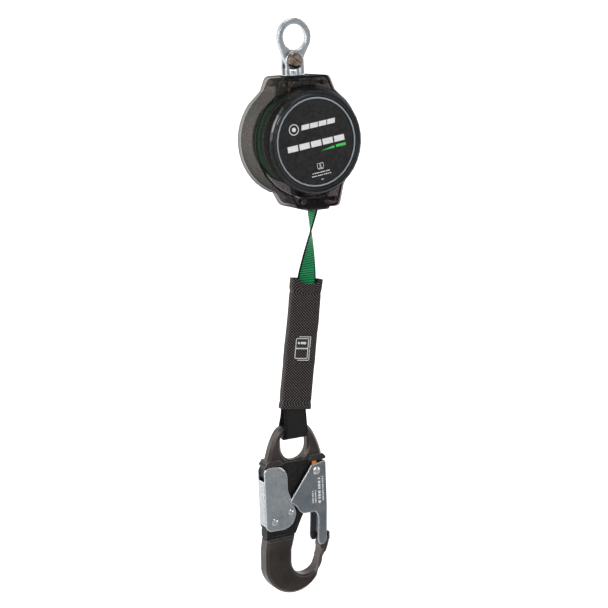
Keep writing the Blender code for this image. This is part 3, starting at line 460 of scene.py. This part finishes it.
def finishes():
    """The materials by the record's slot names, and after them the finishes of single nodes."""
    return {
        "zinc": zinc(),
        "bronze": metal("bronze_finish", (0.42, 0.27, 0.12), (0.62, 0.43, 0.22), 0.34),
        "bolt_steel": metal("bolt_finish", (0.30, 0.24, 0.20), (0.62, 0.52, 0.45), 0.2, patches=160),
        "brass": metal("brass_finish", (0.60, 0.48, 0.22), (0.84, 0.72, 0.42), 0.26),
        "frame_steel": metal("rolled_steel", (0.42, 0.42, 0.43), (0.58, 0.58, 0.58), 0.3, (1, 1, 30)),
        "spring_steel": metal("blued_steel", (0.10, 0.12, 0.20), (0.26, 0.27, 0.34), 0.3),
        "smoke_clear": smoke_shell("smoke_rear", 0.80),
        "smoke_front": smoke_shell("smoke_front", 0.64),
        "seal_rubber": plastic("gasket_rubber", (0.008, 0.008, 0.008), 0.6),
        "bezel_plastic": plastic("bezel_gloss", (0.009, 0.009, 0.010), 0.2, height=0.00001),
        "label": plastic("label_film", (0.013, 0.0125, 0.013), 0.42, 0.4, 0.00004, 0.25),
        "trim": metal("silver_print", (0.36, 0.41, 0.46), (0.50, 0.55, 0.60), 0.36, patches=90),
        "inner_plastic": plastic("inner_nylon", (0.012, 0.012, 0.013), 0.3),
        "web_green": pack_weave(),
        "cover_fabric": nylon(),
        "web_black": strap_weave(
            "black_web", (0.006, 0.006, 0.006), (0.024, 0.021, 0.021), (0.005, 0.005, 0.005), 0.06,
        ),
        "hook_black": forged(),
        "tell_tale": plastic("orange_mark", (0.75, 0.22, 0.02), 0.45),
        "gate_zinc": zinc("gate_zinc", (0.25, 0.28, 0.31), 0.32, 1.5),
        "polished": zinc("rivet_steel", (0.62, 0.63, 0.64), 0.14, 0.3),
        "bolt_head": metal("bolt_head", (0.20, 0.15, 0.125), (0.50, 0.40, 0.33), 0.16, patches=160),
        "dark_screw": metal("dark_screw", (0.06, 0.045, 0.038), (0.13, 0.10, 0.085), 0.3, patches=160),
    }


# ---------------------------------------------------------------- pieces

def piece(name, build, look, body, smooth=True, sharp=40):
    """Turns a bmesh in metres into a piece that rides on a CAD body."""
    bmesh.ops.recalc_face_normals(build, faces=build.faces)
    mesh = bpy.data.meshes.new(name)
    build.to_mesh(mesh)
    build.free()
    if smooth:
        mesh.shade_smooth()
        mesh.set_sharp_from_angle(angle=math.radians(sharp))
    mesh.materials.append(look)
    made = bpy.data.objects.new(name, mesh)
    bpy.context.collection.objects.link(made)
    if body:
        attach(made, body)
    return made


def bridge(build, low, high):
    """Closes the band between two rings of the same number of corners."""
    count = len(low)
    for k in range(count):
        j = (k + 1) % count
        build.faces.new((low[k], low[j], high[j], high[k]))


def strap(stations, width, thick, bulge=0.16):
    """A woven strap as a bmesh: stations are (centre, across, up, metres along). Ribs are real swellings."""
    build = bmesh.new()
    uv = build.loops.layers.uv.new("strap")
    flat = [-0.94 + 1.88 * i / 10 for i in range(11)]
    ring = [(u, 1.0) for u in flat] + [(1.0, 0.35), (1.0, -0.35)]
    ring += [(-u, -1.0) for u in flat] + [(-1.0, -0.35), (-1.0, 0.35)]
    rows, marks = [], {}
    for centre, across, up, along in stations:
        row = []
        swell = math.sin(2 * math.pi * centre.z / RIB)
        for k, (u, side) in enumerate(ring):
            height = 0.5 * thick * side * (1 + bulge * swell * (1 - abs(u) ** 6) + 0.05 * math.cos(u * 26))
            reach = 0.5 * width * u * (1 + 0.004 * swell)
            vert = build.verts.new(centre + across * reach + up * height)
            marks[vert] = (u, along)
            row.append(vert)
        rows.append(row)
    for low, high in zip(rows, rows[1:]):
        bridge(build, low, high)
    build.faces.new(rows[0][::-1])
    build.faces.new(rows[-1])
    for face in build.faces:
        for corner in face.loops:
            corner[uv].uv = marks[corner.vert]
    return build


def along_route(points, across_of, step=RIB / 5):
    """Even stations on a polyline: each has its centre, directions across and up, and its length so far."""
    spans = [(b - a).length for a, b in zip(points, points[1:])]
    total = sum(spans)
    count = max(int(total / step), 2)
    stations = []
    for i in range(count + 1):
        left = total * i / count
        k = 0
        while k < len(spans) - 1 and left > spans[k]:
            left -= spans[k]
            k += 1
        centre = points[k].lerp(points[k + 1], min(left / spans[k], 1.0))
        ahead = (points[min(k + 2, len(points) - 1)] - points[max(k - 1, 0)]).normalized()
        across = across_of(i / count)
        up = ahead.cross(across).normalized()
        stations.append((centre, up.cross(ahead).normalized(), up, total * i / count))
    return stations


def green_web(look, pale_thread):
    """The lifeline web with its twist between the outlet and the cover, and its three rows of stitches."""
    end = COVER_TOP.lerp(COVER_END, 0.07)
    points = [WEB_TOP.lerp(end, i / 40) for i in range(41)]

    def across(share):
        turn = math.radians(90 - 106 * share)
        return Vector((math.cos(turn), math.sin(turn), 0))

    build = strap(along_route(points, across), WEB_WIDTH, WEB_THICK * 0.85)
    made = piece("green_web", build, look, None)
    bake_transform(made)
    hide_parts("lifeline_web")
    build = bmesh.new()
    for row, share in enumerate((0.775, 0.800, 0.825)):
        wide = across(share)
        thin = Vector((wide.y, -wide.x, 0))
        for k in range(6):
            aside = (k - 2.5 + 0.5 * (row % 2)) * 2.3 * MM
            spot = WEB_TOP.lerp(end, share) + wide * aside + thin * 0.85 * MM
            add_bead(build, spot, wide, 0.9 * MM, 0.3 * MM)
    stitches = piece("web_stitches", build, pale_thread, None)
    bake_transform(stitches)


def loop_points():
    """The hook loop's middle line: down in front of the bar, round it and up behind, into the cover."""
    inner = 6.85 * MM + LOOP_THICK / 2
    front, back = COVER_END.y - 2.7 * MM, COVER_END.y + 2.5 * MM
    top = COVER_END.z + 5.0 * MM
    points = [Vector((BAR.x, front, top)), Vector((BAR.x, front - 0.6 * MM, top - 9 * MM))]
    for i in range(19):
        t = math.radians(180 + 205 * i / 18)
        points.append(Vector((BAR.x, inner * math.cos(t), BAR.z + inner * math.sin(t))))
    points += [Vector((BAR.x, back + 1.2 * MM, top - 10 * MM)), Vector((BAR.x, back, top))]
    return smoothed(points, 3)


def smoothed(points, rounds):
    """Cuts the corners of an open polyline, keeping its two ends."""
    for _ in range(rounds):
        finer = [points[0]]
        for a, b in zip(points, points[1:]):
            finer += [a.lerp(b, 0.25), a.lerp(b, 0.75)]
        points = finer + [points[-1]]
    return points


def black_loop(look):
    """The flat black web that holds the hook's eye."""
    stations = along_route(loop_points(), lambda share: Vector((1, 0, 0)))
    build = strap(stations, LOOP_WIDTH - 0.6 * MM, LOOP_THICK * 0.9, 0.015)
    made = piece("black_loop", build, look, "line_end")
    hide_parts("hook_loop")
    return made


def cover_frame():
    """The cover's directions right, back and down, and its length."""
    run = COVER_END - COVER_TOP
    down = run.normalized()
    right = Vector((-down.z, 0, down.x)).normalized()
    return right, Vector((0, 1, 0)), down, run.length


def cover(look, hem_thread):
    """The stitched nylon sleeve: a slack tube, a folded hem at each end and a dip at its front top edge."""
    right, back, down, length = cover_frame()
    around, steps = 96, 130
    half_x, half_y = COVER_SIZE / 2
    build = bmesh.new()
    uv = build.loops.layers.uv.new("strap")
    marks = {}
    hems = [(0.0, TOP_HEM), (length - FOOT_HEM, length)]

    def hem(s):
        return any(low <= s <= high for low, high in hems)

    def ring(s, inset):
        row = []
        walked, last = 0.0, None
        for k in range(around):
            t = 2 * math.pi * (k + 0.5) / around
            c, d = math.cos(t), math.sin(t)
            x = half_x * math.copysign(abs(c) ** 0.36, c)
            y = half_y * math.copysign(abs(d) ** 0.42, d)
            slack = noise.noise(Vector((x * 60, y * 60, s * 34))) * 0.9 * MM
            slack += noise.noise(Vector((x * 160, y * 160, s * 110))) * 0.25 * MM
            pull = 0.5 * MM * math.exp(-((s - TOP_HEM) / (2.5 * MM)) ** 2)
            pull += 0.5 * MM * math.exp(-((s - length + FOOT_HEM) / (2.0 * MM)) ** 2)
            swell = 0.35 * MM if hem(s) else 0.0
            scale = 1 - (inset + pull - swell - slack * 0.6 + 0.5 * MM) / max(Vector((x, y)).length, half_y)
            low_edge = TOP_DIP * max(0.0, 1 - (x / (0.72 * half_x)) ** 4) * max(0.0, 1 - s / (20 * MM))
            drop = low_edge if y < 0 else 0.0
            spot = COVER_TOP + right * x * scale + back * y * scale + down * (s + drop)
            vert = build.verts.new(spot)
            walked += 0 if last is None else (spot - last).length
            last = spot
            marks[vert] = (walked, s)
            row.append(vert)
        return row

    outer = [ring(length * i / steps, 0) for i in range(steps + 1)]
    inner = [ring(length * i / 12, COVER_WALL * 0.8) for i in range(13)]
    bands = list(zip(outer, outer[1:])) + list(zip(inner, inner[1:]))
    bands += [(outer[0], inner[0]), (outer[-1], inner[-1])]
    for low, high in bands:
        bridge(build, low, high)
    for face in build.faces:
        for corner in face.loops:
            corner[uv].uv = marks[corner.vert]
    made = piece("nylon_cover", build, look, "line_end", sharp=75)
    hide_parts("shock_cover")
    stitches = stitch_rows(right, back, down, length, hem_thread)
    return made


def stitch_rows(right, back, down, length, look):
    """Short thread stitches round both hems and down the seam."""
    half_x, half_y = COVER_SIZE / 2
    spots = []
    for s in (12.2 * MM, length - 6.2 * MM):
        for side in (-1, 1):
            for k in range(13):
                x = (-0.84 + 1.68 * k / 12) * half_x
                spots.append((Vector((x, side * (half_y - 0.55 * MM), s)), Vector((1, 0, 0))))
    for k in range(44):
        s = 15 * MM + (length - 24 * MM) * k / 43
        spots.append((Vector((half_x - 3.4 * MM, half_y - 0.75 * MM, s)), Vector((0, 0, 1))))
    build = bmesh.new()
    for local, along in spots:
        spot = COVER_TOP + right * local.x + back * local.y + down * local.z
        run = right * along.x + down * along.z
        add_bead(build, spot, run, 0.85 * MM, 0.28 * MM)
    return piece("cover_stitches", build, look, "line_end")


def add_bead(build, spot, run, half, radius, sides=6):
    """A short round stitch with tapered ends."""
    side = run.orthogonal().normalized()
    other = run.cross(side).normalized()
    rows = []
    for share, swell in ((-1, 0.3), (-0.6, 0.9), (0, 1.1), (0.6, 0.9), (1, 0.3)):
        rows.append([
            build.verts.new(
                spot + run * half * share + (side * math.cos(t) + other * math.sin(t)) * radius * swell)
            for t in [2 * math.pi * k / sides for k in range(sides)]
        ])
    for low, high in zip(rows, rows[1:]):
        bridge(build, low, high)
    build.faces.new(rows[0][::-1])
    build.faces.new(rows[-1])


# ---------------------------------------------------------------- printed marks

def add_slab(build, outline, origin, right, up, out, thick):
    """A thin raised slab from an outline (x, y) in millimetres on a plane."""
    front = [build.verts.new(origin + right * x * MM + up * y * MM + out * thick) for x, y in outline]
    rear = [build.verts.new(origin + right * x * MM + up * y * MM) for x, y in outline]
    build.faces.new(front)
    build.faces.new(rear[::-1])
    for k in range(len(outline)):
        j = (k + 1) % len(outline)
        build.faces.new((front[k], rear[k], rear[j], front[j]))


def bar(x0, y0, x1, y1, lean=0.0):
    """A bar's outline between two corners, leaning right as it rises."""
    shift = lean * (y1 - y0)
    return [(x0, y0), (x1, y0), (x1 + shift, y1), (x0 + shift, y1)]


def dot(x, y, radius, sides):
    """A round dot's outline."""
    turns = [2 * math.pi * k / sides for k in range(sides)]
    return [(x + radius * math.cos(t), y + radius * math.sin(t)) for t in turns]


def ring_bars(x, y, radius, width, sides=28):
    """The outlines of a thin ring, as a run of short bars."""
    shapes = []
    for k in range(sides):
        a, b = 2 * math.pi * k / sides, 2 * math.pi * (k + 1.02) / sides
        shapes.append([
            (x + r * math.cos(t), y + r * math.sin(t))
            for r, t in ((radius - width, a), (radius, a), (radius, b), (radius - width, b))
        ])
    return shapes


def book(x, y, size, line=0.12):
    """An open book outline: two pages side by side with a thick lower edge."""
    w, h, t = size, size * 0.72, size * line
    shapes = []
    for side in (-1, 1):
        x0, x1 = sorted((x + side * t * 0.6, x + side * w))
        shapes += [bar(x0, y - h, x1, y - h + t), bar(x0, y + h - t, x1, y + h),
                   bar(x0, y - h, x0 + t, y + h), bar(x1 - t, y - h, x1, y + h)]
    shapes.append(bar(x - w * 0.8, y - h - 2 * t, x + w * 0.8, y - h - t))
    return shapes


def label_marks(white, green):
    """A plain generic face: a ring and dot, two rows of bars, a green bar, a book sign and fine dashes."""
    origin = Vector((DISC.x, LABEL_Y - 0.02 * MM, DISC.z))
    lean = Matrix.Rotation(math.radians(-8), 3, "Y")
    right, up, out = lean @ Vector((1, 0, 0)), lean @ Vector((0, 0, 1)), Vector((0, -1, 0))
    shapes = ring_bars(-22.0, 16.5, 5.4, 0.8)
    shapes.append(dot(-22.0, 16.5, 2.2, 16))
    shapes += [bar(-14.0 + 9.6 * k, 14.2, -5.4 + 9.6 * k, 19.0, 0.2) for k in range(4)]
    shapes += [bar(-32.0 + 13.0 * k, -4.4, -20.6 + 13.0 * k, 1.4) for k in range(5)]
    shapes += book(0.5, -23.5, 3.6)
    for row, (y, count) in enumerate(((-30.4, 9), (-33.2, 10))):
        for k in range(count):
            x = 0.5 + (k - count / 2) * 2.2
            shapes.append(bar(x, y, x + (1.7 if (k + row) % 3 else 1.2), y + 0.9))
    shapes.append(bar(-0.8, -37.4, 1.8, -36.8))
    for name, look, drawn in (
        ("label_print", white, shapes),
        ("label_flash", green, [[(4, -9.6), (19, -7.4), (19, -9.6)], bar(21, -9.6, 32, -7.0)]),
    ):
        build = bmesh.new()
        for outline in drawn:
            add_slab(build, outline, origin, right, up, out, 0.07 * MM)
        piece(name, build, look, "housing", smooth=False)


def cover_mark(white):
    """The plain book sign printed across the cover's front, lying on its side."""
    right, back, down, length = cover_frame()
    origin = COVER_TOP + down * (length * 0.53) - right * 0.6 * MM - back * (COVER_SIZE.y / 2 - 0.45 * MM)
    shapes = []
    for side in (-1, 1):
        near, far, outer = side * 0.5, side * 10.6, side * 12.4
        for a, b, low, high in (
            (near, far, 7.4, 8.2), (near, far, -6.8, -6.0),
            (near - side * 0.5, near + side * 0.1, -6.8, 8.2), (far - side * 0.8, far, -6.8, 8.2),
            (outer - side * 0.7, outer, -8.8, 4.6), (near, outer, -8.8, -8.1),
        ):
            shapes.append(bar(min(a, b), low, max(a, b), high))
    shapes.append(dot(-5.6, 4.6, 1.3, 12))
    shapes.append(bar(-6.8, -3.6, -4.4, 2.4))
    build = bmesh.new()
    for outline in shapes:
        add_slab(build, outline, origin, down, -right, -back, 0.5 * MM)
    piece("cover_print", build, white, "line_end", smooth=False)


def gate_marks(look):
    """Rows of small etched dashes along the gate, in place of stamped lettering."""
    low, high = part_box("gate")
    origin = Vector((high[0], low[1] - 0.01 * MM, high[2]))
    right, up, out = Vector((1, 0, 0)), Vector((0, 0, 1)), Vector((0, -1, 0))
    build = bmesh.new()
    rows = (
        (-4.6, -16.0, 13, 1.5, 2.1), (-8.8, -17.0, 8, 2.8, 3.5),
        (-13.4, -30.0, 7, 1.5, 2.0), (-16.6, -30.0, 7, 1.5, 2.0),
    )
    for x, top, count, wide, pitch in rows:
        for k in range(count):
            y = top - k * pitch
            dash = pitch * (0.78 if k % 3 else 0.5)
            add_slab(build, bar(x - wide / 2, y - dash, x + wide / 2, y), origin, right, up, out, 0.05 * MM)
    piece("gate_etching", build, look, "gate", smooth=False)


def lever_ribs(look):
    """Fine grip ribs pressed into the lock lever's back wall."""
    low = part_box("lock_lever")[0]
    build = bmesh.new()
    count, half, bottom, top = 34, 6.0 * MM, low[2] + 8 * MM, low[2] + 50 * MM
    for k in range(count):
        z = bottom + (top - bottom) * k / (count - 1)
        profile = [(0.05, -0.45), (-0.28, -0.2), (-0.28, 0.2), (0.05, 0.45)]
        rows = [
            [build.verts.new((low[0] + x * MM, y, z + up * MM)) for x, up in profile] for y in (-half, half)
        ]
        bridge(build, rows[0], rows[1])
        build.faces.new(rows[0][::-1])
        build.faces.new(rows[1])
    piece("lever_ribs", build, look, "lock_lever", smooth=False)


# ---------------------------------------------------------------- the whole

def dress(looks):
    """Gives every CAD node that stays in view the finish of its slot, or a finish of its own."""
    own = {"gate": "gate_zinc", "front_shell": "smoke_front", "clevis_bolt": "bolt_head"}
    own.update({name: "polished" for name in ("gate_rivet", "lever_rivet", "lock_pin")})
    own.update({name: "dark_screw" for name in nodes if name.startswith("housing_screw")})
    for entry in frame["record"]["subparts"]:
        shown = nodes[entry["node"]]
        shown.data.materials.clear()
        shown.data.materials.append(looks[own.get(entry["node"], entry["material_slot"])])


camera()
studio()
looks = finishes()
dress(looks)
green = strap_weave("green_weave", (0.002, 0.055, 0.02), (0.018, 0.34, 0.12), (0.004, 0.006, 0.005))
green_web(green, thread("pale_thread", (0.10, 0.52, 0.26)))
black_loop(looks["web_black"])
cover(looks["cover_fabric"], thread("black_thread", (0.05, 0.048, 0.046)))
white_ink = print_ink("white_ink", (0.82, 0.82, 0.82))
label_marks(white_ink, print_ink("green_ink", (0.05, 0.62, 0.10)))
cover_mark(print_ink("fabric_ink", (0.72, 0.72, 0.72), 0.7))
gate_marks(print_ink("etching", (0.80, 0.80, 0.78), 0.5))
lever_ribs(looks["zinc"])
